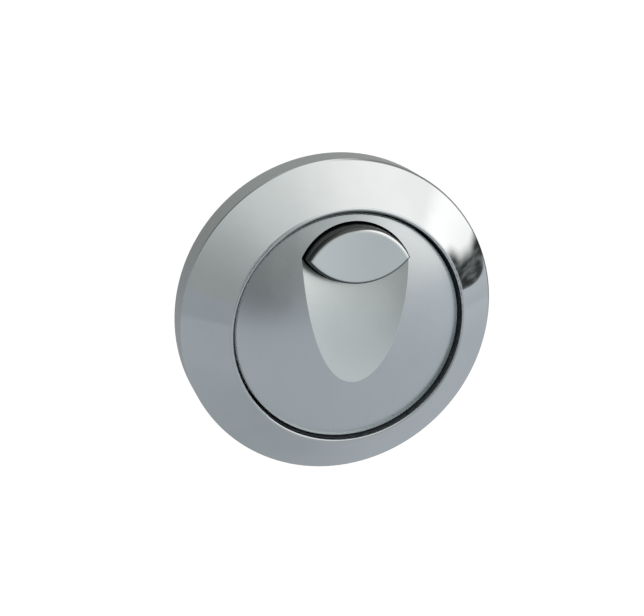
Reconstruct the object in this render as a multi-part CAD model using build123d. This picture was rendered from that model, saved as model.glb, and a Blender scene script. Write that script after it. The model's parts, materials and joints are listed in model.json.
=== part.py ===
from build123d import *
import os
from math import atan, cos, radians, sin, sqrt, tan

# A dual-flush push button for a toilet cistern, worked by air, made to go through a hole in a panel or
# a cistern lid. The large domed button gives the full flush and the eye in it gives the half flush.
# Each button pushes a rubber bellows that sends a puff of air down a hose to the flush valve.
#
# It is modelled lying on its back: the axis is +Z, towards the user, the eye is on the +Y side, and
# z = 0 is the front face of the panel. The finished solids are then stood up, face to -Y and +Z up.

# Bezel
BORE_RADIUS = 27.2
BEAD_WIDTH = 0.8
BEAD_RISE = 0.42
BEAD_LIP = 0.15
FACE_WIDTH = 9.5
CONE_RISE = 7.6
RIM_HEIGHT = 7.0
RIM_EDGE_ROUND = 0.5
BEZEL_WALL = 2.0
SLEEVE_WALL = 1.8
RIB_COUNT = 12
RIB_THICKNESS = 1.2
SNAP_COUNT = 4
SNAP_WIDTH = 9.0
SNAP_HEIGHT = 1.1
SNAP_GRIP = 0.7

# Panel and fixing
PANEL_THICKNESS = 6.0
SEAL_THICKNESS = 1.5
WASHER_THICKNESS = 1.5
NUT_THICKNESS = 5.0
NUT_RING_WIDTH = 3.0
NUT_FLANGE_WIDTH = 5.0
NUT_FLANGE_THICKNESS = 1.6
NUT_LUG_COUNT = 10
NUT_LUG_WIDTH = 4.0

# Body
BARREL_STEP = 1.2
BARREL_WALL = 2.8
THREAD_DEPTH = 0.6
BARREL_DEPTH = 20.0
FLANGE_THICKNESS = 2.0
FLANGE_CLEARANCE = 1.2
SPIGOT_RING_WALL = 1.5
SPIGOT_RING_HEIGHT = 3.0
WEB_THICKNESS = 2.0
WEB_SETBACK = 2.5
GUIDE_SLEEVE_WALL = 1.5
GUIDE_SLEEVE_HEIGHT = 2.0

# Large button
BUTTON_GAP = 0.7
BUTTON_EDGE_DROP = 0.9
BUTTON_EDGE_ROUND = 0.35
DOME_RISE = 5.8
BUTTON_WALL = 2.0
TRAVEL = 5.0
STROKE_ROOM = 0.7

# Scoop in the large button: a round groove that runs along an arc, from the eye's corners to its crest
SCOOP_RUN_RADIUS = 95.85
SCOOP_CREST_BELOW_AXIS = 11.1
SCOOP_CREST_DEPTH = 0.05
SCOOP_CORNER_INSET = 0.1

# Eye
EYE_HALF_WIDTH = 12.55
EYE_UPPER_RISE = 7.75
EYE_LOWER_DROP = 6.15
EYE_EDGE_MARGIN = 1.5
EYE_GAP = 0.5
EYE_STEP = 3.2
EYE_EDGE_ROUND = 1.1
EYE_WALL = 1.6
EYE_TOP_WALL = 2.0
EYE_WELL_WALL = 1.3
EYE_BOSS_WALL = 1.6
EYE_BOSS_DEPTH = 4.5

# Carrier and plungers
CARRIER_PLATE_THICKNESS = 2.0
CARRIER_CLEARANCE = 0.6
FULL_AXIS_BELOW = 9.0
FULL_STEM_RADIUS = 4.0
HALF_STEM_RADIUS = 3.0
HALF_SPIGOT_RADIUS = 2.0
HALF_AXIS_INSET = 4.0
LEG_ANGLES = (195, 270, 345)
LEG_WIDTH = 10.0
LEG_THICKNESS = 2.2
LEG_REACH = 2.0
PUSHER_THICKNESS = 2.5
PUSHER_MARGIN = 0.6

# Bellows and springs
FULL_BELLOWS_RADIUS = 6.8
HALF_BELLOWS_RADIUS = 6.0
BELLOWS_WALL = 0.9
BELLOWS_FOLD_DEPTH = 1.7
BELLOWS_FOLDS = 5
BELLOWS_TOP_THICKNESS = 1.5
FULL_WIRE_DIAMETER = 1.2
HALF_WIRE_DIAMETER = 1.0
SPRING_TURNS = 6

# End cap and hose tails
END_CAP_THICKNESS = 3.0
END_CAP_INSET = 0.3
SPIGOT_WALL = 1.4
SPIGOT_LENGTH = 3.5
TAIL_STUB_RADIUS = 2.6
TAIL_BORE_RADIUS = 1.4
TAIL_FLANGE_RADIUS = 4.6
TAIL_FLANGE_THICKNESS = 2.0
TAIL_SEAL_THICKNESS = 0.8
BARB_RADIUS = 3.0
BARB_ROOT_RADIUS = 2.4
TAIL_NECK_LENGTH = 2.0
BARB_COUNT = 3
BARB_LENGTH = 3.2
BARB_LAND = 0.8
BARB_SPACE = 0.8

# Screws
SCREW_SHANK_RADIUS = 1.0
SCREW_HEAD_RADIUS = 2.0
SCREW_HEAD_HEIGHT = 1.5
SCREW_LENGTH = 6.0
SCREW_CROSS_LENGTH = 2.4
SCREW_CROSS_WIDTH = 0.6
SCREW_CROSS_DEPTH = 0.8
SCREW_BOSS_RADIUS = 2.4
SCREW_HEAD_MARGIN = 0.4
BUTTON_SCREW_ANGLES = (12, 168, 270)
END_SCREW_ANGLES = (45, 135, 225, 315)

# Fits
SLIDE_CLEARANCE = 0.35
SEAT_CLEARANCE = 0.15
TOUCH_GAP = 0.1
STOP_GAP = 0.3
THREAD_CLEARANCE = 0.25

# Radii worked out from the sizes above
lip_radius = BORE_RADIUS + BEAD_WIDTH
bezel_radius = lip_radius + FACE_WIDTH
rim_inner_radius = bezel_radius - BEZEL_WALL
sleeve_radius = BORE_RADIUS + SLEEVE_WALL
spigot_ring_inner = sleeve_radius + SEAT_CLEARANCE
spigot_ring_outer = spigot_ring_inner + SPIGOT_RING_WALL
flange_radius = rim_inner_radius - FLANGE_CLEARANCE
snap_inner_radius = flange_radius - SNAP_GRIP
barrel_radius = BORE_RADIUS - BARREL_STEP
thread_root_radius = barrel_radius - THREAD_DEPTH
barrel_inner_radius = barrel_radius - BARREL_WALL
ring_inner_radius = barrel_radius + THREAD_CLEARANCE
button_radius = BORE_RADIUS - BUTTON_GAP
dome_radius = (button_radius**2 + DOME_RISE**2) / (2 * DOME_RISE)
carrier_radius = barrel_inner_radius - CARRIER_CLEARANCE
button_screw_circle = carrier_radius - LEG_THICKNESS - SCREW_HEAD_RADIUS - SCREW_HEAD_MARGIN
end_screw_circle = barrel_inner_radius - SCREW_BOSS_RADIUS / 2

# Heights along the axis
flange_back = SEAL_THICKNESS
flange_front = flange_back + FLANGE_THICKNESS
web_front = flange_front - WEB_SETBACK
web_back = web_front - WEB_THICKNESS
lip_height = RIM_HEIGHT + CONE_RISE
button_edge = lip_height - BUTTON_EDGE_DROP
button_skirt = flange_front + TRAVEL + STROKE_ROOM
dome_centre = button_edge + DOME_RISE - dome_radius
plate_back = web_front + GUIDE_SLEEVE_HEIGHT + TRAVEL + STROKE_ROOM
plate_front = plate_back + CARRIER_PLATE_THICKNESS
pusher_front = web_back - STOP_GAP
pusher_back = pusher_front - PUSHER_THICKNESS
barrel_back = -BARREL_DEPTH
end_cap_back = barrel_back - END_CAP_THICKNESS
washer_back = -PANEL_THICKNESS - WASHER_THICKNESS
nut_back = washer_back - NUT_THICKNESS

# The eye is a pointed oval of two arcs, its upper edge close to the edge of the large button
eye_top = button_radius - EYE_EDGE_MARGIN
eye_corner = eye_top - EYE_UPPER_RISE
eye_bottom = eye_corner - EYE_LOWER_DROP
eye_upper_radius = (EYE_HALF_WIDTH**2 + EYE_UPPER_RISE**2) / (2 * EYE_UPPER_RISE)
eye_lower_radius = (EYE_HALF_WIDTH**2 + EYE_LOWER_DROP**2) / (2 * EYE_LOWER_DROP)
half_stem_y = eye_corner
half_axis_y = half_stem_y - HALF_AXIS_INSET
full_axis_y = -FULL_AXIS_BELOW

# The scoop's crest lies just under the dome, and its floor falls away from there towards the eye. Its
# section is the round one that comes up to the dome just inside the eye's corners.
crest_y = -SCOOP_CREST_BELOW_AXIS
crest_height = dome_centre + sqrt(dome_radius**2 - crest_y**2) - SCOOP_CREST_DEPTH
scoop_axis_height = crest_height - SCOOP_RUN_RADIUS
scoop_half_width = EYE_HALF_WIDTH - SCOOP_CORNER_INSET
dome_at_corner = dome_centre + sqrt(dome_radius**2 - scoop_half_width**2 - eye_corner**2)
scoop_sag = sqrt((eye_corner - crest_y) ** 2 + (dome_at_corner - scoop_axis_height) ** 2) - SCOOP_RUN_RADIUS
scoop_section_radius = (scoop_half_width**2 + scoop_sag**2) / (2 * scoop_sag)
scoop_floor_at_eye = scoop_axis_height + sqrt(SCOOP_RUN_RADIUS**2 - (eye_bottom - crest_y) ** 2)
eye_front = scoop_floor_at_eye + EYE_STEP
eye_skirt = button_skirt

FROM_BELOW = (Align.CENTER, Align.CENTER, Align.MIN)


def disc(radius, back, front, x=0, y=0):
    """Plain cylinder along the axis between two heights."""
    return Pos(x, y, back) * Cylinder(radius, front - back, align=FROM_BELOW)


def ring(outer, inner, back, front, x=0, y=0):
    """Plain tube along the axis between two heights."""
    return disc(outer, back, front, x, y) - disc(inner, back, front, x, y)


def turned(*points):
    """Solid turned about the axis from a closed outline of (radius, height) points."""
    return revolve(make_face(Plane.XZ * Polyline(*points, close=True)), Axis.Z)


def turned_profile(profile):
    """Solid turned about the axis from lines and arcs drawn as (radius, height)."""
    return revolve(make_face(Plane.XZ * profile), Axis.Z)


def polar(radius, angle):
    """Point at a radius and an angle in degrees, as (x, y)."""
    return radius * cos(radians(angle)), radius * sin(radians(angle))


def sector(outer, inner, width, back, front, angle):
    """Stretch of a tube, of a given width, at an angle round the axis."""
    middle = (outer + inner) / 2
    block = Pos(middle, 0, back) * Box(middle, width, front - back, align=FROM_BELOW)
    return ring(outer, inner, back, front) & Rot(0, 0, angle) * block


def eye_prism(inset, back, front):
    """The eye's pointed oval, drawn in by an inset, between two heights."""
    upper = Pos(0, eye_top - eye_upper_radius) * Circle(eye_upper_radius - inset)
    lower = Pos(0, eye_bottom + eye_lower_radius) * Circle(eye_lower_radius - inset)
    return Pos(0, 0, back) * extrude(upper & lower, front - back)


def pan_screw(x, y, seat):
    """Cross-head screw with its head behind a seat height and its shank pointing forward."""
    head_back = seat - SCREW_HEAD_HEIGHT
    screw = disc(SCREW_HEAD_RADIUS, head_back, seat, x, y)
    screw += disc(SCREW_SHANK_RADIUS, seat, seat + SCREW_LENGTH, x, y)
    slot = Box(SCREW_CROSS_LENGTH, SCREW_CROSS_WIDTH, SCREW_CROSS_DEPTH, align=FROM_BELOW)
    return screw - Pos(x, y, head_back) * (slot + Rot(0, 0, 90) * slot)


def pilot_hole(x, y, seat):
    """Hole that a screw from a seat height bites into."""
    return disc(SCREW_SHANK_RADIUS + SEAT_CLEARANCE, seat, seat + SCREW_LENGTH + STOP_GAP, x, y)


def cone_underside(radius):
    """Height of the underside of the bezel's conical wall at a radius."""
    slope = atan(CONE_RISE / FACE_WIDTH)
    return RIM_HEIGHT + (bezel_radius - radius) * tan(slope) - BEZEL_WALL / cos(slope)


def bezel_outside(inner_points):
    """Bezel turned from its outer outline, closed along the given inner points."""
    slope = atan(CONE_RISE / FACE_WIDTH)
    set_back = RIM_EDGE_ROUND * tan((radians(90) - slope) / 2)
    wall_end = (bezel_radius, RIM_HEIGHT - set_back)
    cone_start = (bezel_radius - set_back * cos(slope), RIM_HEIGHT + set_back * sin(slope))
    cone_end = (lip_radius, lip_height)
    bead_top = (BORE_RADIUS + BEAD_WIDTH / 2, lip_height + BEAD_RISE)
    bead_end = (BORE_RADIUS, lip_height + BEAD_LIP)
    outline = Line((bezel_radius, 0), wall_end)
    outline += TangentArc(wall_end, cone_start, tangent=(0, 1))
    outline += Line(cone_start, cone_end)
    outline += ThreePointArc(cone_end, bead_top, bead_end)
    outline += Polyline(bead_end, *inner_points, (bezel_radius, 0))
    return turned_profile(outline)


def make_bezel():
    """Moulded shell: rim wall, cone and bead outside, sleeve, ribs and snap hooks inside."""
    shell = bezel_outside(
        [
            (BORE_RADIUS, flange_front),
            (sleeve_radius, flange_front),
            (sleeve_radius, cone_underside(sleeve_radius)),
            (rim_inner_radius, cone_underside(rim_inner_radius)),
            (rim_inner_radius, 0),
        ]
    )
    rib_foot = flange_front + SPIGOT_RING_HEIGHT + STOP_GAP
    blank = bezel_outside([(BORE_RADIUS, rib_foot), (bezel_radius, rib_foot)])
    rib_inner = (BORE_RADIUS + sleeve_radius) / 2
    rib_outer = (rim_inner_radius + bezel_radius) / 2
    rib_block = Pos(rib_inner, 0, rib_foot) * Box(
        rib_outer - rib_inner, RIB_THICKNESS, lip_height, align=(Align.MIN, Align.CENTER, Align.MIN)
    )
    for i in range(RIB_COUNT):
        shell += blank & Rot(0, 0, (i + 0.5) * 360 / RIB_COUNT) * rib_block
    snap_front = flange_back - TOUCH_GAP
    snap_back = snap_front - SNAP_HEIGHT
    for i in range(SNAP_COUNT):
        angle = (i + 0.5) * 360 / SNAP_COUNT
        shell += sector(rib_outer, snap_inner_radius, SNAP_WIDTH, snap_back, snap_front, angle)
    return shell


def make_panel_seal():
    """Foam ring between the flange and the panel."""
    return ring(snap_inner_radius - STOP_GAP, ring_inner_radius, 0, flange_back)


def make_body():
    """Moulded housing: flange, barrel, locating ring for the bezel, web with guides, screw bosses.

    The barrel is drawn plain, at the root of its thread.
    """
    body = ring(flange_radius, barrel_inner_radius, flange_back, flange_front)
    body += ring(thread_root_radius, barrel_inner_radius, barrel_back, flange_back)
    body += ring(spigot_ring_outer, spigot_ring_inner, flange_front, flange_front + SPIGOT_RING_HEIGHT)
    body += disc((thread_root_radius + barrel_inner_radius) / 2, web_back, web_front)
    for radius, y in ((FULL_STEM_RADIUS, full_axis_y), (HALF_STEM_RADIUS, half_stem_y)):
        hole = radius + SLIDE_CLEARANCE
        body += disc(hole + GUIDE_SLEEVE_WALL, web_back, web_front + GUIDE_SLEEVE_HEIGHT, 0, y)
        body -= disc(hole, web_back, web_front + GUIDE_SLEEVE_HEIGHT, 0, y)
    for angle in LEG_ANGLES:
        inner = carrier_radius - LEG_THICKNESS - SLIDE_CLEARANCE
        width = LEG_WIDTH + 2 * SLIDE_CLEARANCE
        body -= sector(barrel_inner_radius, inner, width, web_back, web_front, angle)
    for angle in END_SCREW_ANGLES:
        x, y = polar(end_screw_circle, angle)
        boss = disc(SCREW_BOSS_RADIUS, barrel_back, end_cap_back + SCREW_LENGTH + BARREL_WALL, x, y)
        body += boss & disc(thread_root_radius, barrel_back, web_back)
        body -= pilot_hole(x, y, end_cap_back)
    return body


def make_nut_washer():
    """Rubber washer between the panel and the nut."""
    return ring(barrel_radius + NUT_FLANGE_WIDTH, ring_inner_radius, washer_back, -PANEL_THICKNESS)


def make_back_nut():
    """Ring nut with a flange and grip lugs."""
    flange_outer = barrel_radius + NUT_FLANGE_WIDTH
    ring_outer = barrel_radius + NUT_RING_WIDTH
    nut = ring(ring_outer, ring_inner_radius, nut_back, washer_back)
    nut += ring(flange_outer, ring_inner_radius, washer_back - NUT_FLANGE_THICKNESS, washer_back)
    lug_inner = (ring_outer + ring_inner_radius) / 2
    for i in range(NUT_LUG_COUNT):
        angle = i * 360 / NUT_LUG_COUNT
        nut += sector(flange_outer, lug_inner, NUT_LUG_WIDTH, nut_back, washer_back, angle)
    return nut


def scoop_tool(extra=0.0):
    """Round groove tool that runs along an arc up to the eye's corners, thickened by an extra."""
    path_radius = SCOOP_RUN_RADIUS + scoop_section_radius
    groove = Rot(0, 90, 0) * Torus(path_radius, scoop_section_radius + extra)
    reach = 2 * button_radius
    below_corners = Box(reach, reach, reach, align=(Align.CENTER, Align.MAX, Align.CENTER))
    return Pos(0, crest_y, scoop_axis_height) * groove & Pos(0, eye_corner, button_edge) * below_corners


def dome_blank(radius, sphere_radius, back, edge_round=0.0):
    """Solid button with a domed front, down to a height at its back."""
    edge = dome_centre + sqrt(sphere_radius**2 - radius**2)
    top = dome_centre + sphere_radius
    shoulder = (radius / 2, dome_centre + sqrt(sphere_radius**2 - radius**2 / 4))
    outline = Polyline((0, top), (0, back), (radius, back), (radius, edge))
    outline += ThreePointArc((radius, edge), shoulder, (0, top))
    half_section = make_face(Plane.XZ * outline)
    if edge_round:
        corner = half_section.vertices().sort_by_distance((radius, 0, edge))[0]
        half_section = fillet(corner, edge_round)
    return revolve(half_section, Axis.Z)


def make_full_button():
    """Domed shell with the scoop, the eye's well and screw bosses inside."""
    outside = dome_blank(button_radius, dome_radius, button_skirt, BUTTON_EDGE_ROUND) - scoop_tool()
    hollow = dome_blank(button_radius - BUTTON_WALL, dome_radius - BUTTON_WALL, button_skirt)
    hollow -= scoop_tool(BUTTON_WALL)
    top = dome_centre + dome_radius
    hollow -= eye_prism(-EYE_WELL_WALL, button_skirt, top)
    for angle in BUTTON_SCREW_ANGLES:
        hollow -= disc(SCREW_BOSS_RADIUS, plate_front, top, *polar(button_screw_circle, angle))
    button = outside - hollow - eye_prism(0, button_skirt, top)
    for angle in BUTTON_SCREW_ANGLES:
        button -= pilot_hole(*polar(button_screw_circle, angle), plate_back)
    return button


def make_full_carrier():
    """Carrier plate, cut straight clear of the eye's well, with guide legs and the push stem."""
    plate = disc(carrier_radius, plate_back, plate_front)
    clear_of_well = eye_bottom - EYE_WELL_WALL - STOP_GAP
    well_side = Pos(0, clear_of_well, plate_back) * Box(
        2 * carrier_radius, 2 * carrier_radius, plate_front, align=(Align.CENTER, Align.MIN, Align.MIN)
    )
    plate -= well_side
    carrier = plate + disc(FULL_STEM_RADIUS, pusher_front, plate_back, 0, full_axis_y)
    leg_inner = carrier_radius - LEG_THICKNESS
    leg_foot = web_back - LEG_REACH
    for angle in LEG_ANGLES:
        carrier += sector(carrier_radius, leg_inner, LEG_WIDTH, leg_foot, plate_back, angle)
    for angle in BUTTON_SCREW_ANGLES:
        hole = SCREW_SHANK_RADIUS + SEAT_CLEARANCE
        carrier -= disc(hole, plate_back, plate_front, *polar(button_screw_circle, angle))
    return carrier - pilot_hole(0, full_axis_y, pusher_back + SCREW_HEAD_HEIGHT)


def make_full_button_screws():
    """Screws up through the carrier plate into the button's bosses."""
    places = [polar(button_screw_circle, angle) for angle in BUTTON_SCREW_ANGLES]
    return Part() + [pan_screw(x, y, plate_back) for x, y in places]


def spring_outer_radius(bellows_radius, wire):
    """Outside of the spring that runs round a bellows."""
    return bellows_radius + STOP_GAP + wire


def make_full_push_plate():
    """Pusher on the end of the stem, with a counterbore for its screw."""
    radius = spring_outer_radius(FULL_BELLOWS_RADIUS, FULL_WIRE_DIAMETER) + PUSHER_MARGIN
    plate = disc(radius, pusher_back, pusher_front, 0, full_axis_y)
    plate -= disc(SCREW_SHANK_RADIUS + SEAT_CLEARANCE, pusher_back, pusher_front, 0, full_axis_y)
    head_room = SCREW_HEAD_RADIUS + SEAT_CLEARANCE
    return plate - disc(head_room, pusher_back, pusher_back + SCREW_HEAD_HEIGHT, 0, full_axis_y)


def make_full_push_screw():
    """Screw up through the pusher into the stem."""
    return pan_screw(0, full_axis_y, pusher_back + SCREW_HEAD_HEIGHT)


def make_half_button():
    """Eye-shaped cap with a flat front, hollow behind, with a socket for the plunger."""
    cap = eye_prism(EYE_GAP, eye_skirt, eye_front)
    rim = cap.faces().sort_by(Axis.Z)[-1].edges()
    cap = fillet(rim, EYE_EDGE_ROUND)
    top_back = eye_front - EYE_TOP_WALL
    hollow = eye_prism(EYE_GAP + EYE_WALL, eye_skirt, top_back)
    boss_foot = top_back - EYE_BOSS_DEPTH
    boss = HALF_SPIGOT_RADIUS + SEAT_CLEARANCE + EYE_BOSS_WALL
    hollow -= disc(boss, boss_foot, top_back, 0, half_stem_y)
    socket = disc(HALF_SPIGOT_RADIUS + SEAT_CLEARANCE, boss_foot, top_back, 0, half_stem_y)
    return cap - hollow - socket


def make_half_plunger():
    """Foot under the web, stem up through the web's guide, spigot in the eye's socket."""
    boss_foot = eye_front - EYE_TOP_WALL - EYE_BOSS_DEPTH
    foot_radius = spring_outer_radius(HALF_BELLOWS_RADIUS, HALF_WIRE_DIAMETER) + PUSHER_MARGIN
    plunger = disc(foot_radius, pusher_back, pusher_front, 0, half_axis_y)
    plunger += disc(HALF_STEM_RADIUS, pusher_front, boss_foot, 0, half_stem_y)
    plunger += disc(HALF_SPIGOT_RADIUS, boss_foot, eye_front - EYE_TOP_WALL - STOP_GAP, 0, half_stem_y)
    return plunger


def make_bellows(radius, y):
    """Rubber bellows: neck on the end cap's spigot, folds, closed top under the pusher."""
    spigot = TAIL_STUB_RADIUS + SPIGOT_WALL
    neck_inner = spigot + TOUCH_GAP / 2
    valley = radius - BELLOWS_FOLD_DEPTH
    top = pusher_back - TOUCH_GAP
    folds_start = barrel_back + SPIGOT_LENGTH
    folds_end = top - BELLOWS_TOP_THICKNESS
    half_pitch = (folds_end - folds_start) / (2 * BELLOWS_FOLDS)
    outside = [(neck_inner + BELLOWS_WALL, barrel_back), (neck_inner + BELLOWS_WALL, folds_start)]
    inside = [(neck_inner, barrel_back), (neck_inner, folds_start)]
    for i in range(1, 2 * BELLOWS_FOLDS):
        fold = radius if i % 2 else valley
        outside.append((fold, folds_start + i * half_pitch))
        inside.append((fold - BELLOWS_WALL, folds_start + i * half_pitch))
    outside += [(valley, folds_end), (valley, top), (0, top)]
    inside += [(valley - BELLOWS_WALL, folds_end), (0, folds_end)]
    return Pos(0, y, 0) * turned(*outside, *reversed(inside))


def make_spring(bellows_radius, wire, y):
    """Coil spring with ground ends between the end cap and the pusher."""
    foot = barrel_back
    top = pusher_back - TOUCH_GAP
    mean_radius = spring_outer_radius(bellows_radius, wire) - wire / 2
    length = top - foot
    path = Helix(pitch=length / SPRING_TURNS, height=length, radius=mean_radius)
    section = Plane(path @ 0, z_dir=path % 0) * Circle(wire / 2)
    coil = sweep(section, path=path, is_frenet=True)
    ground = Cylinder(2 * mean_radius, length, align=FROM_BELOW)
    return Pos(0, y, foot) * (coil & ground)


def make_end_cap():
    """Rear cover with a spigot for each bellows and holes for the tails and screws."""
    cap = disc(thread_root_radius - END_CAP_INSET, end_cap_back, barrel_back)
    for y in (full_axis_y, half_axis_y):
        cap += disc(TAIL_STUB_RADIUS + SPIGOT_WALL, barrel_back, barrel_back + SPIGOT_LENGTH, 0, y)
        cap -= disc(TAIL_STUB_RADIUS, end_cap_back, barrel_back + SPIGOT_LENGTH, 0, y)
    for angle in END_SCREW_ANGLES:
        hole = SCREW_SHANK_RADIUS + SEAT_CLEARANCE
        cap -= disc(hole, end_cap_back, barrel_back, *polar(end_screw_circle, angle))
    return cap


def make_end_cap_screws():
    """Screws through the end cap into the body's bosses."""
    places = [polar(end_screw_circle, angle) for angle in END_SCREW_ANGLES]
    return Part() + [pan_screw(x, y, end_cap_back) for x, y in places]


def make_tail_seal(y):
    """Sealing washer under a hose tail's flange."""
    inner = TAIL_STUB_RADIUS + TOUCH_GAP / 2
    return ring(TAIL_FLANGE_RADIUS, inner, end_cap_back - TAIL_SEAL_THICKNESS, end_cap_back, 0, y)


def make_hose_tail(y):
    """Barbed tail: stub in the end cap, flange, and barbs with short lands, bored through."""
    stub = TAIL_STUB_RADIUS - TOUCH_GAP / 2
    flange_front_face = end_cap_back - TAIL_SEAL_THICKNESS
    flange_back_face = flange_front_face - TAIL_FLANGE_THICKNESS
    outline = [
        (TAIL_BORE_RADIUS, barrel_back),
        (stub, barrel_back),
        (stub, flange_front_face),
        (TAIL_FLANGE_RADIUS, flange_front_face),
        (TAIL_FLANGE_RADIUS, flange_back_face),
        (BARB_ROOT_RADIUS, flange_back_face),
    ]
    barb_front = flange_back_face - TAIL_NECK_LENGTH
    for _ in range(BARB_COUNT):
        outline += [
            (BARB_ROOT_RADIUS, barb_front),
            (BARB_RADIUS, barb_front),
            (BARB_RADIUS, barb_front - BARB_LAND),
            (BARB_ROOT_RADIUS, barb_front - BARB_LENGTH),
        ]
        barb_front -= BARB_LENGTH + BARB_SPACE
    outline += [(BARB_ROOT_RADIUS, barb_front), (TAIL_BORE_RADIUS, barb_front)]
    return Pos(0, y, 0) * turned(*outline)


def save(name, shape):
    """Stand a finished piece up, face to -Y, and write it."""
    export_step(Rot(90, 0, 0) * shape, f"parts/{name}.step")


os.makedirs("parts", exist_ok=True)
save("bezel", make_bezel())
save("panel_seal", make_panel_seal())
save("body", make_body())
save("nut_washer", make_nut_washer())
save("back_nut", make_back_nut())
save("full_button", make_full_button())
save("full_carrier", make_full_carrier())
save("full_button_screws", make_full_button_screws())
save("full_push_plate", make_full_push_plate())
save("full_push_screw", make_full_push_screw())
save("half_button", make_half_button())
save("half_plunger", make_half_plunger())
save("end_cap", make_end_cap())
save("end_cap_screws", make_end_cap_screws())
save("full_bellows", make_bellows(FULL_BELLOWS_RADIUS, full_axis_y))
save("half_bellows", make_bellows(HALF_BELLOWS_RADIUS, half_axis_y))
save("full_return_spring", make_spring(FULL_BELLOWS_RADIUS, FULL_WIRE_DIAMETER, full_axis_y))
save("half_return_spring", make_spring(HALF_BELLOWS_RADIUS, HALF_WIRE_DIAMETER, half_axis_y))
for side, axis_y in (("full", full_axis_y), ("half", half_axis_y)):
    save(f"{side}_tail_seal", make_tail_seal(axis_y))
    save(f"{side}_hose_tail", make_hose_tail(axis_y))
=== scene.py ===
import json
from math import cos, pi, radians, sin

import bpy
from mathutils import Matrix, Vector

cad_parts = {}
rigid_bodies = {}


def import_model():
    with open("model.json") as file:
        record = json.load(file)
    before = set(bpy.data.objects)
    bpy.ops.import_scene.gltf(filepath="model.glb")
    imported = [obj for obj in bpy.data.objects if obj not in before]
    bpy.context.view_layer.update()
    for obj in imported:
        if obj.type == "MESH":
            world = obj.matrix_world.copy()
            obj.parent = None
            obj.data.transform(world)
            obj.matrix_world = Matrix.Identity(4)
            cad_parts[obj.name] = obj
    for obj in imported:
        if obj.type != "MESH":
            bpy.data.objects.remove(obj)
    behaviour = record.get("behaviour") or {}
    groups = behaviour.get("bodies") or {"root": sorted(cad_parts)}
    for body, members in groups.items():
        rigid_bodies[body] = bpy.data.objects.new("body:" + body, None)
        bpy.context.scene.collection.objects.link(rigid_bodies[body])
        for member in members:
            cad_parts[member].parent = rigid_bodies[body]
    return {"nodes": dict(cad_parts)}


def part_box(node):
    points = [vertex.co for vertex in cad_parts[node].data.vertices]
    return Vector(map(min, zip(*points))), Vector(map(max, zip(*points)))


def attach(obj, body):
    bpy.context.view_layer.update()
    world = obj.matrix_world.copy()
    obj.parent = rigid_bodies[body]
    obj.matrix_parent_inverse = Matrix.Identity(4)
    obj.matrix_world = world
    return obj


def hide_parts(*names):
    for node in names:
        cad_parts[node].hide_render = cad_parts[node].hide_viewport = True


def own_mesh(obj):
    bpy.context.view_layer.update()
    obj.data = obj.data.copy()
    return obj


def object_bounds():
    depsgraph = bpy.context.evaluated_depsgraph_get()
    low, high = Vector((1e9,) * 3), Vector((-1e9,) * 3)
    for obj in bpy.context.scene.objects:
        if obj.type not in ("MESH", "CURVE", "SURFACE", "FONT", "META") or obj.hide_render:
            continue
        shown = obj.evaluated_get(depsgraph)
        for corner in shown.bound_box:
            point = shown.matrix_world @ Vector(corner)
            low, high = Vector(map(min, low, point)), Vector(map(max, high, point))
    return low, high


for left_over in list(bpy.data.objects):
    bpy.data.objects.remove(left_over, do_unlink=True)

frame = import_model()
cad_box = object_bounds()
nodes = frame["nodes"]

# Sizes in metres; the axis of the button runs along Y, with the user at -Y and the panel's front at 0
RIM_HEIGHT = 0.007
BUTTON_GAP = 0.0007
BUTTON_EDGE = 0.0137
BUTTON_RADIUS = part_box("full_button")[1].x
BORE_RADIUS = BUTTON_RADIUS + BUTTON_GAP
SCOOP_AXIS = (0.0, 0.0773786, -0.0111)
SCOOP_PATH = 0.1459506
SCOOP_SECTION = 0.0501006
EYE_FRONT = -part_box("half_button")[0].y
EYE_CORNER_Z = 0.01725
BARREL_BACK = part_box("body")[1].y
THREAD_ROOT = 0.0254
THREAD_CREST = 0.0260
THREAD_PITCH = 0.0030
FULL_SPRING_WIRE = 0.0012
HALF_SPRING_WIRE = 0.0010

# The studio: the floor's half width and drop below the button, what it sends to the camera, and the dark
# sheet that paints a dark reflection on the cone
FLOOR_HALF = 30.0
FLOOR_DROP = 0.25
FLOOR_GLOW = 0.63
FLOOR_SHADOW = 0.4
DARK_REFLECTION_X = 0.06
DARK_REFLECTION_Y = (-0.026, -0.003)
DARK_REFLECTION_TOP = 0.032

# The camera: its place, its own right and up, and its lens
CAMERA_PLACE = (-0.091021, -0.277126, 0.093653)
CAMERA_RIGHT = (0.95552, -0.29195, 0.04172)
CAMERA_UP = (0.05133, 0.30395, 0.95130)
CAMERA_LENS_MM = 72.398


def aim(azimuth, elevation):
    """Unit direction; azimuth 0 is towards the user, 90 to the right, elevation above the horizon."""
    a = radians(azimuth)
    e = radians(elevation)
    return sin(a) * cos(e), -cos(a) * cos(e), sin(e)


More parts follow.
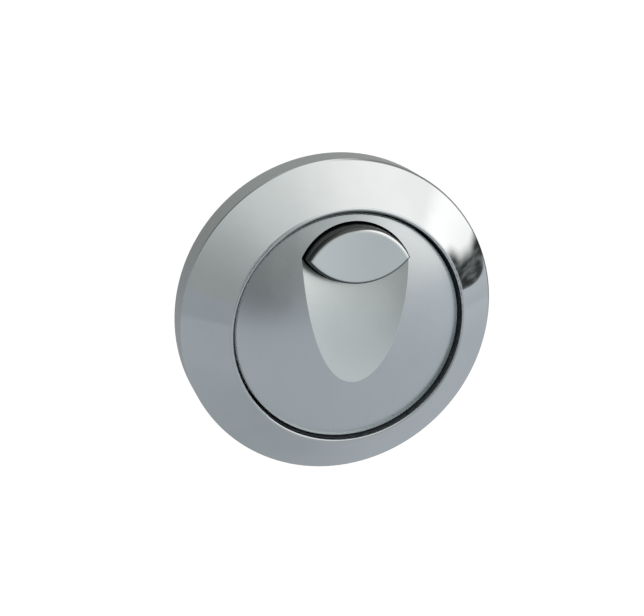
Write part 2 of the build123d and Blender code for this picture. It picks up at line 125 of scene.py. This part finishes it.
class Wiring:
    """Short way to add and join the nodes of one tree."""

    def __init__(self, tree):
        self.tree = tree

    def add(self, kind, **settings):
        node = self.tree.nodes.new(kind)
        for name, value in settings.items():
            setattr(node, name, value)
        return node

    def join(self, source, target):
        self.tree.links.new(source, target)

    def feed(self, target, value):
        """Set a socket to a plain value, or join another node's output to it."""
        if isinstance(value, bpy.types.NodeSocket):
            self.join(value, target)
        else:
            target.default_value = value

    def maths(self, operation, first, second=0.0):
        node = self.add("ShaderNodeMath", operation=operation)
        self.feed(node.inputs[0], first)
        self.feed(node.inputs[1], second)
        return node.outputs[0]

    def multiply(self, value, *shares):
        for share in shares:
            value = self.maths("MULTIPLY", value, share)
        return value

    def ramp(self, value, low, high, to_low=0.0, to_high=1.0, smooth=True):
        node = self.add("ShaderNodeMapRange", interpolation_type="SMOOTHSTEP" if smooth else "LINEAR")
        self.feed(node.inputs["Value"], value)
        self.feed(node.inputs["From Min"], low)
        self.feed(node.inputs["From Max"], high)
        self.feed(node.inputs["To Min"], to_low)
        self.feed(node.inputs["To Max"], to_high)
        return node.outputs["Result"]

    def blend(self, mask, first, second):
        """Mix of two colours, each another node's output or red, green and blue."""
        node = self.add("ShaderNodeMix", data_type="RGBA")
        self.feed(node.inputs["Factor"], mask)
        for socket, colour in ((node.inputs[6], first), (node.inputs[7], second)):
            self.feed(socket, (*colour, 1) if isinstance(colour, tuple) else colour)
        return node.outputs[2]

    def blend_value(self, mask, first, second):
        node = self.add("ShaderNodeMix", data_type="FLOAT")
        self.feed(node.inputs["Factor"], mask)
        self.feed(node.inputs[2], first)
        self.feed(node.inputs[3], second)
        return node.outputs[0]

    def tint(self, colour, level):
        """A colour made brighter or dimmer by a level."""
        node = self.add("ShaderNodeVectorMath", operation="SCALE")
        self.feed(node.inputs[0], colour)
        self.feed(node.inputs["Scale"], level)
        return node.outputs["Vector"]

    def place(self):
        """Point on the piece, in metres, in the frame it was drawn in."""
        return self.add("ShaderNodeTexCoord").outputs["Object"]

    def length(self, first, second):
        """Length of the vector with these two parts."""
        squares = [self.maths("MULTIPLY", part, part) for part in (first, second)]
        return self.maths("SQRT", self.maths("ADD", *squares))

    def split(self, vector):
        """The X, Y and Z of a vector."""
        node = self.add("ShaderNodeSeparateXYZ")
        self.join(vector, node.inputs["Vector"])
        return node.outputs["X"], node.outputs["Y"], node.outputs["Z"]

    def towards(self, direction, azimuth, elevation, core, edge, low, high):
        """Value that goes from low to high as a direction nears one side of the room."""
        dot = self.add("ShaderNodeVectorMath", operation="DOT_PRODUCT")
        self.join(direction, dot.inputs[0])
        dot.inputs[1].default_value = aim(azimuth, elevation)
        return self.ramp(dot.outputs["Value"], cos(radians(edge)), cos(radians(core)), low, high)

    def mix_shaders(self, mask, first, second):
        node = self.add("ShaderNodeMixShader")
        self.join(mask, node.inputs[0])
        self.join(first.outputs[0], node.inputs[1])
        self.join(second.outputs[0], node.inputs[2])
        return node

    def surface(self, shader, output="ShaderNodeOutputMaterial"):
        """Make a shader the tree's result."""
        self.join(shader.outputs[0], self.add(output).inputs["Surface"])


def noise(wiring, scale, detail=2.0, roughness=0.5):
    """Noise with about this many blobs to the metre."""
    node = wiring.add("ShaderNodeTexNoise")
    wiring.join(wiring.place(), node.inputs["Vector"])
    wiring.feed(node.inputs["Scale"], scale)
    node.inputs["Detail"].default_value = detail
    node.inputs["Roughness"].default_value = roughness
    return node.outputs["Fac"]


def new_group(name, inputs, output):
    """Shader node group with float or vector inputs and one float output, and its wiring."""
    group = bpy.data.node_groups.new(name, "ShaderNodeTree")
    for label, value in inputs.items():
        kind = "NodeSocketVector" if isinstance(value, tuple) else "NodeSocketFloat"
        socket = group.interface.new_socket(label, in_out="INPUT", socket_type=kind)
        socket.default_value = value
    group.interface.new_socket(output, in_out="OUTPUT", socket_type="NodeSocketFloat")
    wiring = Wiring(group)
    return group, wiring, wiring.add("NodeGroupInput").outputs, wiring.add("NodeGroupOutput").inputs[output]


def make_mottle_group():
    """Soft cloudy mask: handling marks on plating, uneven sheen on mouldings."""
    group, wiring, entry, mask = new_group("cloudy_mottle", {"Scale": 200.0}, "Mask")
    clouds = noise(wiring, entry["Scale"], 3.0, 0.55)
    wiring.join(wiring.ramp(clouds, 0.35, 0.65), mask)
    return group


def make_grain_group():
    """Fine grain height: the blasted or moulded texture of a satin surface."""
    group, wiring, entry, height = new_group("fine_grain", {"Scale": 4000.0, "Coarse": 0.4}, "Height")
    fine = noise(wiring, entry["Scale"], 2.0, 0.6)
    wide = noise(wiring, wiring.maths("MULTIPLY", entry["Scale"], 0.23), 1.0)
    wiring.join(wiring.blend_value(entry["Coarse"], fine, wide), height)
    return group


def make_room_group():
    """How much of the light reaches a side of the room: it is dim behind the camera."""
    group, wiring, entry, shade = new_group("room_shade", {"Direction": (0.0, 0.0, 1.0)}, "Shade")
    direction = entry["Direction"]
    camera_side = wiring.towards(direction, azimuth=-25, elevation=14, core=17, edge=30, low=1.0, high=0.5)
    camera_top = wiring.towards(direction, azimuth=13, elevation=27, core=8, edge=25, low=1.0, high=0.62)
    wiring.join(wiring.multiply(camera_side, camera_top), shade)
    return group


MOTTLE = make_mottle_group()
GRAIN = make_grain_group()
ROOM = make_room_group()


def use_group(wiring, group, output, **values):
    """Place a node group in a tree with its own values."""
    node = wiring.add("ShaderNodeGroup", node_tree=group)
    for label, value in values.items():
        wiring.feed(node.inputs[label], value)
    return node.outputs[output]


def mottle(wiring, scale):
    return use_group(wiring, MOTTLE, "Mask", Scale=scale)


def grain(wiring, scale, coarse=0.4):
    return use_group(wiring, GRAIN, "Height", Scale=scale, Coarse=coarse)


def room_shade(wiring, direction):
    return use_group(wiring, ROOM, "Shade", Direction=direction)


def bare_material(name):
    """Empty material and its wiring."""
    material = bpy.data.materials.new(name)
    material.use_nodes = True
    material.node_tree.nodes.clear()
    return material, Wiring(material.node_tree)


def new_material(name):
    """Material with one Principled shader."""
    material, wiring = bare_material(name)
    shader = wiring.add("ShaderNodeBsdfPrincipled")
    wiring.surface(shader)
    return material, wiring, shader


def relief(wiring, shader, height, depth, strength=1.0, edge=None):
    """Bump of a depth in metres, over edges softened by a small radius."""
    bump = wiring.add("ShaderNodeBump")
    wiring.feed(bump.inputs["Strength"], strength)
    bump.inputs["Distance"].default_value = depth
    wiring.join(height, bump.inputs["Height"])
    if edge:
        softened = wiring.add("ShaderNodeBevel", samples=4)
        softened.inputs["Radius"].default_value = edge
        wiring.join(softened.outputs["Normal"], bump.inputs["Normal"])
    wiring.join(bump.outputs["Normal"], shader.inputs["Normal"])


def make_polished_chrome():
    """Bezel: mirror plating on the cone and bead, satin on the straight rim wall, matt in the bore, with a
    painted dark reflection along the upper right end of the cone.
    """
    material, wiring, shader = new_material("polished_chrome")
    shader.inputs["Metallic"].default_value = 1.0
    marks = mottle(wiring, 90.0)
    across, depth, height = wiring.split(wiring.place())

    satin = wiring.ramp(depth, -RIM_HEIGHT - 0.0001, -RIM_HEIGHT + 0.0004)
    from_centre = wiring.length(across, height)
    in_bore = wiring.ramp(from_centre, BORE_RADIUS + 0.00005, BORE_RADIUS + 0.00025, 1.0, 0.0)
    below_button = wiring.ramp(depth, -BUTTON_EDGE - 0.0002, -BUTTON_EDGE + 0.0004)
    bore = wiring.multiply(in_bore, below_button)
    # Painted dark reflection: a thin dark line painted on the upper right end of the cone, next to the rim
    # wall.
    cone_end = wiring.ramp(depth, -RIM_HEIGHT - 0.0004, -RIM_HEIGHT - 0.0002)
    upper_right = wiring.ramp(wiring.maths("ADD", across, height), 0.030, 0.044)
    painted_dark_edge = wiring.multiply(cone_end, upper_right)

    plated_colour = wiring.blend(marks, (0.465, 0.509, 0.509), (0.484, 0.529, 0.529))
    mirror_colour = wiring.blend(painted_dark_edge, plated_colour, (0.10, 0.11, 0.11))
    satin_colour = wiring.blend(mottle(wiring, 1500.0), (0.324, 0.356, 0.347), (0.345, 0.378, 0.369))
    bore_colour = wiring.blend(marks, (0.15, 0.17, 0.20), (0.17, 0.19, 0.22))
    outer_colour = wiring.blend(satin, mirror_colour, satin_colour)
    wiring.join(wiring.blend(bore, outer_colour, bore_colour), shader.inputs["Base Color"])

    mirror_finish = wiring.ramp(marks, 0.0, 1.0, 0.05, 0.075)
    outer_finish = wiring.blend_value(satin, mirror_finish, 0.38)
    wiring.join(wiring.blend_value(bore, outer_finish, 0.8), shader.inputs["Roughness"])
    relief(wiring, shader, grain(wiring, 5000.0), 0.00002, satin)
    return material


def scoop_mask(wiring):
    """1 on the scoop, a groove of round section along an arc about an axis that runs across."""
    spot = wiring.place()
    offset = wiring.add("ShaderNodeVectorMath", operation="SUBTRACT")
    wiring.join(spot, offset.inputs[0])
    offset.inputs[1].default_value = SCOOP_AXIS
    across, back, up = wiring.split(offset.outputs["Vector"])
    from_axis = wiring.length(back, up)
    from_path = wiring.length(wiring.maths("SUBTRACT", from_axis, SCOOP_PATH), across)
    inside = wiring.ramp(from_path, SCOOP_SECTION + 0.00001, SCOOP_SECTION + 0.00004, 1.0, 0.0)
    height = wiring.split(spot)[2]
    below_corners = wiring.ramp(height, EYE_CORNER_Z, EYE_CORNER_Z + 0.00005, 1.0, 0.0)
    return wiring.multiply(inside, below_corners)


def make_satin_dome():
    """Large button: pearl satin plating, a little more matt in the scoop, which has painted light making it
    lighter towards its lower tip, with a pale skirt in the gap as painted light that lightens the gap's
    shade.
    """
    material, wiring, shader = new_material("satin_dome")
    marks = mottle(wiring, 120.0)
    across, _, height = wiring.split(wiring.place())
    in_scoop = scoop_mask(wiring)
    from_centre = wiring.length(across, height)
    skirt = wiring.ramp(from_centre, BUTTON_RADIUS - 0.0001, BUTTON_RADIUS - 0.00002)

    dome_colour = wiring.blend(marks, (0.516, 0.565, 0.570), (0.531, 0.581, 0.585))
    # Painted light: the scoop is lighter towards its lower tip than at its top.
    scoop_top_painted_shade = wiring.blend(marks, (0.618, 0.676, 0.659), (0.634, 0.693, 0.675))
    scoop_tip_painted_light = wiring.blend(marks, (0.715, 0.781, 0.745), (0.732, 0.798, 0.761))
    # Painted light: the skirt in the gap is painted pale so that the gap shows less shade.
    skirt_painted_light = wiring.blend(marks, (0.86, 0.92, 0.92), (0.89, 0.95, 0.95))
    scoop_painted_light = wiring.blend(wiring.ramp(height, -0.013, 0.004, 1.0, 0.0), scoop_top_painted_shade, scoop_tip_painted_light)
    top_colour = wiring.blend(in_scoop, dome_colour, scoop_painted_light)
    wiring.join(wiring.blend(skirt, top_colour, skirt_painted_light), shader.inputs["Base Color"])

    dome_finish = wiring.ramp(marks, 0.0, 1.0, 0.24, 0.28)
    top_finish = wiring.blend_value(in_scoop, dome_finish, 0.31)
    wiring.join(wiring.blend_value(skirt, top_finish, 0.8), shader.inputs["Roughness"])
    wiring.join(wiring.ramp(skirt, 0.0, 1.0, 1.0, 0.0), shader.inputs["Metallic"])
    strength = wiring.ramp(in_scoop, 0.0, 1.0, 0.02, 0.8)
    relief(wiring, shader, grain(wiring, 2000.0, 0.5), 0.00003, strength)
    return material


def make_satin_eye():
    """Small button: pearl satin face with painted light, lighter on the left than on the right; dark round
    the side, partly painted shade fading in over the rounded edge; a painted highlight on the edge at the
    upper right.
    """
    material, wiring, shader = new_material("satin_eye")
    shader.inputs["Metallic"].default_value = 1.0
    marks = mottle(wiring, 120.0)
    across, depth, height = wiring.split(wiring.place())

    # Dark side and painted shade: the side of the eye is dark, partly an unplated side and partly painted
    # shade that fades in over the rounded edge. Above the corners on the right the painted shade starts
    # deeper, so the edge there shows a painted highlight.
    above_corners = wiring.ramp(height, EYE_CORNER_Z - 0.0002, EYE_CORNER_Z + 0.0006)
    highlight_holdback = wiring.multiply(above_corners, wiring.ramp(across, -0.002, 0.005, 0.0, 0.00022))
    behind_edge = wiring.maths("SUBTRACT", depth, highlight_holdback)
    side = wiring.ramp(behind_edge, 0.00002 - EYE_FRONT, 0.00022 - EYE_FRONT)

    # Painted light: the face is lighter on the left and darker on the right.
    painted_shaded_right = wiring.blend(marks, (0.615, 0.674, 0.662), (0.630, 0.689, 0.677))
    painted_lit_left = wiring.blend(marks, (0.721, 0.789, 0.765), (0.738, 0.805, 0.781))
    dark_side_and_shade_colour = wiring.blend(marks, (0.05, 0.055, 0.055), (0.06, 0.066, 0.065))
    face_painted_light = wiring.blend(wiring.ramp(across, -0.010, 0.006), painted_lit_left, painted_shaded_right)
    wiring.join(wiring.blend(side, face_painted_light, dark_side_and_shade_colour), shader.inputs["Base Color"])
    wiring.join(wiring.ramp(marks, 0.0, 1.0, 0.34, 0.38), shader.inputs["Roughness"])
    relief(wiring, shader, grain(wiring, 2000.0, 0.5), 0.00003, 0.5)
    return material


def make_moulding(name, colour, shade, roughness, depth, scale, edge):
    """Moulded plastic or rubber with a fine grain, a cloudy sheen and softened edges."""
    material, wiring, shader = new_material(name)
    clouds = mottle(wiring, scale / 12)
    wiring.join(wiring.blend(clouds, colour, shade), shader.inputs["Base Color"])
    finish = wiring.ramp(clouds, 0.0, 1.0, roughness - 0.05, roughness + 0.05)
    wiring.join(finish, shader.inputs["Roughness"])
    relief(wiring, shader, grain(wiring, scale), depth, 1.0, edge)
    return material


def make_foam():
    """Closed-cell foam of the panel seal: small round cells."""
    material, wiring, shader = new_material("foam_rubber")
    cells = wiring.add("ShaderNodeTexVoronoi")
    wiring.join(wiring.place(), cells.inputs["Vector"])
    cells.inputs["Scale"].default_value = 1800.0
    from_cell = cells.outputs["Distance"]
    colour = wiring.blend(mottle(wiring, 150.0), (0.05, 0.05, 0.055), (0.075, 0.075, 0.08))
    wiring.join(colour, shader.inputs["Base Color"])
    wiring.join(wiring.ramp(from_cell, 0.0, 0.7, 0.95, 0.75), shader.inputs["Roughness"])
    relief(wiring, shader, from_cell, 0.00018, 0.8)
    return material


def make_steel(name, colour, shade, roughness, scale):
    """Drawn or plated steel with fine drawing marks."""
    material, wiring, shader = new_material(name)
    shader.inputs["Metallic"].default_value = 1.0
    clouds = mottle(wiring, scale / 6)
    wiring.join(wiring.blend(clouds, colour, shade), shader.inputs["Base Color"])
    finish = wiring.ramp(clouds, 0.0, 1.0, roughness - 0.06, roughness + 0.08)
    wiring.join(finish, shader.inputs["Roughness"])
    relief(wiring, shader, grain(wiring, scale), 0.00001, 0.6)
    return material


FINISHES = {
    "polished_chrome": make_polished_chrome(),
    "satin_dome": make_satin_dome(),
    "satin_eye": make_satin_eye(),
    "grey_plastic": make_moulding(
        "grey_plastic", (0.42, 0.44, 0.46), (0.46, 0.48, 0.50), 0.48, 0.00003, 3200.0, 0.0003
    ),
    "white_plastic": make_moulding(
        "white_plastic", (0.74, 0.74, 0.71), (0.79, 0.79, 0.77), 0.42, 0.00002, 2600.0, 0.0003
    ),
    "tail_plastic": make_moulding(
        "tail_plastic", (0.06, 0.065, 0.075), (0.08, 0.085, 0.095), 0.32, 0.00001, 3000.0, 0.00015
    ),
    "black_rubber": make_moulding(
        "black_rubber", (0.018, 0.018, 0.02), (0.03, 0.03, 0.032), 0.62, 0.00003, 2400.0, 0.0002
    ),
    "foam_rubber": make_foam(),
    "spring_steel": make_steel("spring_steel", (0.55, 0.55, 0.54), (0.62, 0.62, 0.61), 0.3, 2400.0),
    "screw_steel": make_steel("screw_steel", (0.60, 0.60, 0.57), (0.68, 0.68, 0.66), 0.34, 1800.0),
}

FINISH_OF = {
    "bezel": "polished_chrome",
    "full_button": "satin_dome",
    "half_button": "satin_eye",
    "body": "grey_plastic",
    "end_cap": "grey_plastic",
    "back_nut": "white_plastic",
    "full_carrier": "white_plastic",
    "full_push_plate": "white_plastic",
    "half_plunger": "white_plastic",
    "full_hose_tail": "tail_plastic",
    "half_hose_tail": "tail_plastic",
    "nut_washer": "black_rubber",
    "full_tail_seal": "black_rubber",
    "half_tail_seal": "black_rubber",
    "panel_seal": "foam_rubber",
    "end_cap_screws": "screw_steel",
    "full_button_screws": "screw_steel",
    "full_push_screw": "screw_steel",
}

for node_name, finish in FINISH_OF.items():
    nodes[node_name].data.materials.clear()
    nodes[node_name].data.materials.append(FINISHES[finish])


def add_piece(name, vertices, faces, finish):
    """New smooth mesh that rides on the housing."""
    mesh = bpy.data.meshes.new(name)
    mesh.from_pydata(vertices, [], faces)
    mesh.validate()
    mesh.shade_smooth()
    mesh.materials.append(FINISHES[finish])
    piece = bpy.data.objects.new(name, mesh)
    bpy.context.collection.objects.link(piece)
    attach(piece, "housing")
    return piece


def tube_faces(rings, around):
    """Quads between rings of points, with a cap at each end."""
    faces = []
    for i in range(rings - 1):
        for j in range(around):
            k = (j + 1) % around
            faces.append((i * around + j, i * around + k, (i + 1) * around + k, (i + 1) * around + j))
    faces.append(tuple(reversed(range(around))))
    last = (rings - 1) * around
    faces.append(tuple(range(last, last + around)))
    return faces


def make_barrel_thread():
    """Helical ridge round the barrel, run out at both ends."""
    start = 0.0006
    length = BARREL_BACK - 2 * start
    front_limit = 0.0002
    back_limit = BARREL_BACK - 0.0001
    half_foot = 0.00105
    half_crest = 0.0004
    offsets = (-half_foot, -half_crest, half_crest, half_foot)
    foot = THREAD_ROOT - 0.00008
    per_turn = 96
    run_outs = 12
    steps = int(length / THREAD_PITCH * per_turn)
    vertices = []
    for i in range(steps + 1):
        share = i / steps
        angle = 2 * pi * share * length / THREAD_PITCH
        run_out = min(1.0, run_outs * share, run_outs * (1 - share))
        crest = THREAD_ROOT + (THREAD_CREST - THREAD_ROOT) * run_out
        middle = start + length * share
        for radius, offset in zip((foot, crest, crest, foot), offsets):
            y = min(max(middle + offset, front_limit), back_limit)
            vertices.append((radius * cos(angle), y, radius * sin(angle)))
    piece = add_piece("barrel_thread", vertices, tube_faces(steps + 1, len(offsets)), "grey_plastic")
    piece.data.set_sharp_from_angle(angle=radians(30))


def replace_soft_node(piece, node):
    """Show a piece in place of a node."""
    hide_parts(node)
    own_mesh(piece)


def make_return_spring(name, node, wire):
    """Coil spring with closed, ground ends."""
    low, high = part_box(node)
    axis_z = (low.z + high.z) / 2
    mean_radius = high.x - wire / 2
    turns = 7
    per_turn = 48
    around = 12
    dead = 0.9
    closed_pitch = 0.9 * wire
    live_pitch = (high.y - low.y - closed_pitch * 2 * dead) / (turns - 2 * dead)
    steps = turns * per_turn
    vertices = []
    for i in range(steps + 1):
        turn = i / per_turn
        angle = 2 * pi * turn
        closed = min(turn, dead) + max(0.0, turn - (turns - dead))
        middle = low.y + closed_pitch * closed + live_pitch * (turn - closed)
        for j in range(around):
            around_angle = 2 * pi * j / around
            radius = mean_radius + wire / 2 * cos(around_angle)
            y = min(max(middle + wire / 2 * sin(around_angle), low.y), high.y)
            vertices.append((radius * cos(angle), y, axis_z + radius * sin(angle)))
    piece = add_piece(name, vertices, tube_faces(steps + 1, around), "spring_steel")
    replace_soft_node(piece, node)


def bellows_profile(radius, front, back):
    """Closed outline of the bellows' wall, as distance from its axis and place along it."""
    wall = 0.0009
    depth = 0.0017
    folds = 5
    per_fold = 12
    neck = 0.00405
    axis_gap = 0.0002
    corner = 0.0003
    folds_back = back - 0.0035
    folds_front = front + 0.0015
    outside = [(neck + wall, back), (neck + wall, folds_back)]
    inside = [(neck, back), (neck, folds_back)]
    steps = folds * per_fold
    for i in range(1, steps):
        share = i / steps
        swell = (1 - cos(2 * pi * folds * share)) / 2
        fold = radius - depth * (1 - swell)
        y = folds_back + (folds_front - folds_back) * share
        outside.append((fold, y))
        inside.append((fold - wall, y))
    valley = radius - depth
    outside += [(valley, folds_front), (valley, front + corner)]
    outside += [(valley - corner, front), (axis_gap, front)]
    inside += [(valley - wall, folds_front), (axis_gap, folds_front)]
    return outside + list(reversed(inside))


def make_bellows(name, node):
    """Rubber bellows with rounded folds, neck on the end cap's spigot, closed top under the pusher."""
    low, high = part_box(node)
    axis_z = (low.z + high.z) / 2
    profile = bellows_profile(high.x, low.y, high.y)
    count = len(profile)
    around = 56
    vertices = []
    faces = []
    for j in range(around):
        angle = 2 * pi * j / around
        for reach, y in profile:
            vertices.append((reach * cos(angle), y, axis_z + reach * sin(angle)))
        k = (j + 1) % around
        for i in range(count):
            n = (i + 1) % count
            faces.append((j * count + i, j * count + n, k * count + n, k * count + i))
    piece = add_piece(name, vertices, faces, "black_rubber")
    piece.data.set_sharp_from_angle(angle=radians(50))
    replace_soft_node(piece, node)


make_barrel_thread()
make_return_spring("full_spring_coil", "full_return_spring", FULL_SPRING_WIRE)
make_return_spring("half_spring_coil", "half_return_spring", HALF_SPRING_WIRE)
make_bellows("full_bellows_rubber", "full_bellows")
make_bellows("half_bellows_rubber", "half_bellows")


def add_stage(name, corners, material):
    """One flat face of the studio, which isn't part of the button."""
    mesh = bpy.data.meshes.new(name)
    mesh.from_pydata(corners, [], [(0, 1, 2, 3)])
    mesh.materials.append(material)
    face = bpy.data.objects.new(name, mesh)
    bpy.context.collection.objects.link(face)
    return face


def plain_diffuse(wiring, grey):
    node = wiring.add("ShaderNodeBsdfDiffuse")
    node.inputs["Color"].default_value = (grey, grey, grey, 1)
    return node


def make_studio_floor():
    """Wide pale floor: white with a soft shadow in view, pale in reflections with painted light and a
    painted shadow, diffuse for the light.
    """
    material, wiring = bare_material("pale_floor")
    path = wiring.add("ShaderNodeLightPath")
    in_view = path.outputs["Is Camera Ray"]
    seen = wiring.maths("MAXIMUM", in_view, path.outputs["Is Glossy Ray"])
    seen = wiring.maths("MAXIMUM", seen, path.outputs["Is Transmission Ray"])

    spot = wiring.place()
    outward = wiring.add("ShaderNodeVectorMath", operation="NORMALIZE")
    wiring.join(spot, outward.inputs[0])
    direction = outward.outputs["Vector"]
    # In reflections the floor's glow is painted light and shade: brighter towards the right, dimmer far
    # off, with a painted shadow under the button.
    painted_light_right = wiring.ramp(wiring.split(spot)[0], -0.14, 2.15, 0.64, 0.89)
    distant = wiring.ramp(wiring.split(direction)[2], -0.248, -0.203, 1.0, 0.884)
    under = wiring.towards(direction, azimuth=-95, elevation=-72, core=5, edge=42, low=1.0, high=0.9)
    level = wiring.multiply(painted_light_right, distant, under, room_shade(wiring, direction))
    reflected = wiring.tint((0.98, 1.0, 1.07), level)

    white = wiring.add("ShaderNodeEmission")
    wiring.join(wiring.blend(in_view, reflected, (FLOOR_GLOW,) * 3), white.inputs["Color"])
    unseen = wiring.mix_shaders(seen, plain_diffuse(wiring, 0.8), white)
    shadowed = wiring.add("ShaderNodeAddShader")
    wiring.join(white.outputs[0], shadowed.inputs[0])
    wiring.join(plain_diffuse(wiring, FLOOR_SHADOW).outputs[0], shadowed.inputs[1])
    wiring.surface(wiring.mix_shaders(in_view, unseen, shadowed))

    floor_z = cad_box[0][2] - FLOOR_DROP
    ends = (-FLOOR_HALF, FLOOR_HALF)
    corners = [(ends[i], ends[j], floor_z) for i, j in ((0, 0), (1, 0), (1, 1), (0, 1))]
    add_stage("studio_floor", corners, material)


def make_painted_dark_reflection():
    """Dark sheet just out of the picture on the right, a painted dark reflection: it shows only as a
    reflection in the cone, glowing dimly.
    """
    material, wiring = bare_material("painted_dark_reflection")
    _, depth, height = wiring.split(wiring.place())
    below = wiring.ramp(height, 0.0036, 0.010, 1.0, 0.0, smooth=False)
    beside = wiring.ramp(depth, -0.0095, -0.0048, 0.0, 1.0, smooth=False)
    rounded = wiring.ramp(wiring.length(below, beside), 0.88, 1.0, 1.0, 0.0)
    off_middle = wiring.maths("ABSOLUTE", wiring.maths("ADD", depth, 0.0105))
    horns = wiring.ramp(off_middle, 0.001, 0.005, 0.0, 0.006)
    faded = wiring.ramp(wiring.maths("SUBTRACT", height, horns), 0.013, 0.022, 1.0, 0.0)
    # Painted reflection: a dim, uneven glow that shows only in reflections.
    painted_dark_glow = wiring.add("ShaderNodeEmission")
    wiring.join(wiring.ramp(noise(wiring, 420.0), 0.38, 0.68, 0.055, 0.25), painted_dark_glow.inputs["Color"])
    clear = wiring.add("ShaderNodeBsdfTransparent")
    wiring.surface(wiring.mix_shaders(wiring.multiply(rounded, faded), clear, painted_dark_glow))

    front, back = DARK_REFLECTION_Y
    corners = [(DARK_REFLECTION_X, y, z) for y, z in ((front, 0), (back, 0), (back, DARK_REFLECTION_TOP), (front, DARK_REFLECTION_TOP))]
    stand = add_stage("painted_dark_reflection", corners, material)
    stand.visible_camera = False
    stand.visible_diffuse = False
    stand.visible_shadow = False


def make_studio_light():
    """Soft studio: broad light overhead and on the right, a window, dim behind and on the left."""
    world = bpy.data.worlds.new("soft_studio")
    bpy.context.scene.world = world
    world.use_nodes = True
    world.node_tree.nodes.clear()
    wiring = Wiring(world.node_tree)
    direction = wiring.add("ShaderNodeTexCoord").outputs["Generated"]
    overhead = wiring.towards(direction, azimuth=80, elevation=72, core=30, edge=99, low=0.558, high=1.148)
    right_side = wiring.towards(direction, azimuth=95, elevation=43.5, core=0, edge=76, low=0.0, high=0.499)
    window = wiring.towards(direction, azimuth=87, elevation=14, core=5, edge=20, low=0.0, high=0.42)
    behind = wiring.towards(direction, azimuth=145, elevation=15, core=15, edge=50, low=1.0, high=0.56)
    left_side = wiring.towards(direction, azimuth=-115, elevation=42, core=15, edge=42, low=1.0, high=0.2)
    light = wiring.maths("ADD", wiring.maths("ADD", overhead, right_side), window)
    level = wiring.multiply(light, room_shade(wiring, direction), behind, left_side)
    warmth = wiring.blend(wiring.ramp(level, 0.56, 1.6), (1, 1, 1), (1.07, 1.0, 0.995))
    sky = wiring.add("ShaderNodeBackground")
    wiring.join(wiring.tint(warmth, level), sky.inputs["Color"])
    wiring.surface(sky, "ShaderNodeOutputWorld")


def make_camera():
    """Camera at the photograph's angle: a little from the left and above, with a slight roll."""
    camera = bpy.data.objects.new("photo_camera", bpy.data.cameras.new("photo_camera"))
    bpy.context.collection.objects.link(camera)
    camera.data.sensor_fit = "HORIZONTAL"
    camera.data.sensor_width = 36.0
    camera.data.lens = CAMERA_LENS_MM
    camera.data.clip_start = 0.01
    right = Vector(CAMERA_RIGHT).normalized()
    back = right.cross(Vector(CAMERA_UP)).normalized()
    up = back.cross(right)
    turn = Matrix((right, up, back)).transposed().to_4x4()
    camera.matrix_world = Matrix.Translation(CAMERA_PLACE) @ turn
    bpy.context.scene.camera = camera


make_studio_floor()
make_painted_dark_reflection()
make_studio_light()
make_camera()
bpy.context.scene.view_settings.view_transform = "Standard"
